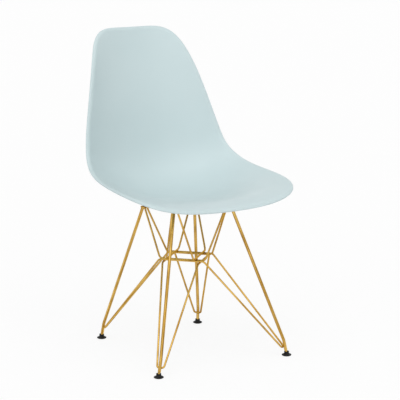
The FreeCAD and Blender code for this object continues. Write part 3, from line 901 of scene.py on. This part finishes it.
def make_welds():
    seams = weld_seams()
    mesh = bpy.data.meshes.new("weld_seams")
    mesh.from_pydata([tuple(spot) for spot, seam, size in seams], [], [])
    directions = mesh.attributes.new("seam", "FLOAT_VECTOR", "POINT")
    sizes = mesh.attributes.new("size", "FLOAT_VECTOR", "POINT")
    for index, (spot, seam, size) in enumerate(seams):
        directions.data[index].vector = seam
        sizes.data[index].vector = Vector(size) * MM
    beads = made_plain("weld_beads", mesh, BEAD_TREE, {
        "Unevenness": BEAD_UNEVENNESS * MM, "Fineness": BEAD_FINENESS, "Finish": GOLD_PLATE,
    })
    dress(beads, GOLD_PLATE, "chair", "gold_steel")


def make_glides():
    socket = []
    for step in range(SOCKET_STEPS + 1):
        bend = SOCKET_ANGLE * (1 - step / SOCKET_STEPS)
        socket.append((SOCKET_RADIUS * math.sin(bend), BALL_HEIGHT - SOCKET_RADIUS * math.cos(bend)))
    profile = rounded(GLIDE_OUTSIDE, GLIDE_ROUNDING)[:-1] + socket
    for corner in CORNERS:
        glide = new_piece("foot_" + corner, *lathe(profile, GLIDE_SIDES, corner_point(corner, FEET, 0)))
        dress(glide, GLIDE_PLASTIC, "glide_" + corner, "glide_plastic", "glide_" + corner)


def finish_small_parts():
    """The plates, pads and fasteners keep their CAD shapes."""
    finishes = {
        "mounting_plate": GOLD_PLATE, "mounting_pad": PAD_RUBBER, "mounting_bolts": ZINC_STEEL,
        "lock_washers": ZINC_STEEL, "flat_washers": ZINC_STEEL, "threaded_inserts": INSERT_BRASS,
    }
    for name, node in NODES.items():
        for start, finish in finishes.items():
            if name.startswith(start):
                node.data.materials.clear()
                node.data.materials.append(finish)


# Camera: angles in degrees, lengths in millimetres, and the rest in pixels of the picture

CAMERA_TURN = 30.103
CAMERA_YAW = 0.489
CAMERA_PITCH = 11.498
CAMERA_DISTANCE = 4230.0
CAMERA_SHIFT_Y = -4.2
CAMERA_HEIGHT = 1257.6
SENSOR_WIDTH = 36.0
FOCAL_LENGTH = 1676.7
PICTURE = 400.0
PICTURE_CENTRE = (200.47, 199.74)


def make_camera():
    turn = math.radians(CAMERA_TURN)
    heading = math.radians(CAMERA_TURN + CAMERA_YAW)
    pitch = math.radians(CAMERA_PITCH)
    forward = Vector((
        math.sin(heading) * math.cos(pitch), math.cos(heading) * math.cos(pitch), -math.sin(pitch),
    ))
    data = bpy.data.cameras.new("camera")
    data.sensor_width = SENSOR_WIDTH
    data.lens = FOCAL_LENGTH / PICTURE * SENSOR_WIDTH
    data.shift_x = (PICTURE / 2 - PICTURE_CENTRE[0]) / PICTURE
    data.shift_y = (PICTURE_CENTRE[1] - PICTURE / 2) / PICTURE
    camera = linked("camera", data)
    camera.location = place(
        -CAMERA_DISTANCE * math.sin(turn),
        -CAMERA_DISTANCE * math.cos(turn) + CAMERA_SHIFT_Y,
        CAMERA_HEIGHT,
    )
    camera.rotation_mode = "QUATERNION"
    camera.rotation_quaternion = forward.to_track_quat("-Z", "Y")
    bpy.context.scene.camera = camera


# Floor and light. A sun has the direction of its light, its spread in degrees and its strength.

SOFT_LEVEL = 0.45
FAR_WALL = (0.51, 0.86, 0.0)
FAR_WALL_SPAN = (-0.5, 0.3)
FLOOR_HALF_SIZE = 40.0
FLOOR_COLOUR = (0.94, 0.94, 0.94, 1.0)
FLOOR_ROUGHNESS = 0.9
FLOOR_GLOW = 0.86
WHITE = (1.0, 1.0, 1.0, 1.0)
SUNS = {
    "overhead": ((0.0, 0.0, -1.0), 70.0, 0.40),
    "front": ((0.36, 0.61, -0.71), 90.0, 1.62),
    "behind": ((-0.50, -0.86, 0.10), 40.0, 0.25),
}


def white_when_seen(tree, share, mirror_share):
    """The share of plain white in what the camera sees, straight or in a mirror-like surface."""
    path = tree.nodes.new("ShaderNodeLightPath")
    mirrored = combined(tree, "MULTIPLY", path.outputs["Is Glossy Ray"], mirror_share)
    straight = combined(tree, "MAXIMUM", path.outputs["Is Camera Ray"], path.outputs["Is Transmission Ray"])
    return combined(tree, "MULTIPLY", combined(tree, "MAXIMUM", straight, mirrored), share)


def far_side(tree):
    """The studio's white walls stand behind the chair. In front of it the room is dimmer."""
    where = tree.nodes.new("ShaderNodeTexCoord").outputs["Generated"]
    towards = tree.nodes.new("ShaderNodeVectorMath")
    towards.operation = "DOT_PRODUCT"
    towards.inputs[1].default_value = FAR_WALL
    tree.links.new(where, towards.inputs[0])
    return between(tree, towards.outputs["Value"], 0.0, 1.0, FAR_WALL_SPAN)


def glowing(tree, kind, strength):
    """A plain white light of a strength, as a background or an emission."""
    node = tree.nodes.new(kind)
    node.inputs["Color"].default_value = WHITE
    node.inputs["Strength"].default_value = strength
    return node.outputs[0]


def mixed(tree, share, first, second, end):
    node = tree.nodes.new("ShaderNodeMixShader")
    for index, socket in enumerate((share, first, second)):
        tree.links.new(socket, node.inputs[index])
    tree.links.new(node.outputs[0], end.inputs["Surface"])


def make_world():
    world = bpy.data.worlds.new("studio")
    bpy.context.scene.world = world
    world.use_nodes = True
    tree = world.node_tree
    tree.nodes.clear()
    soft = glowing(tree, "ShaderNodeBackground", SOFT_LEVEL)
    white = glowing(tree, "ShaderNodeBackground", 1.0)
    share = white_when_seen(tree, 1.0, far_side(tree))
    mixed(tree, share, soft, white, tree.nodes.new("ShaderNodeOutputWorld"))


def make_floor():
    half = FLOOR_HALF_SIZE
    points = [(-half, -half, 0), (half, -half, 0), (half, half, 0), (-half, half, 0)]
    floor = new_piece("floor", points, [(0, 1, 2, 3)], smooth=False)
    made, tree, shader = material("floor")
    shader.inputs["Base Color"].default_value = FLOOR_COLOUR
    shader.inputs["Roughness"].default_value = FLOOR_ROUGHNESS
    glow = glowing(tree, "ShaderNodeEmission", 1.0)
    share = white_when_seen(tree, FLOOR_GLOW, 1.0)
    mixed(tree, share, shader.outputs[0], glow, tree.nodes["Material Output"])
    floor.data.materials.append(made)


def make_suns():
    for name, (direction, spread, strength) in SUNS.items():
        data = bpy.data.lights.new(name, "SUN")
        data.angle = math.radians(spread)
        data.energy = strength
        light = linked(name, data)
        light.rotation_mode = "QUATERNION"
        light.rotation_quaternion = Vector(direction).to_track_quat("-Z", "Y")


make_shell()
make_legs()
make_wires()
make_welds()
make_glides()
finish_small_parts()
make_camera()
make_world()
make_floor()
make_suns()
bpy.context.scene.view_settings.view_transform = "Standard"
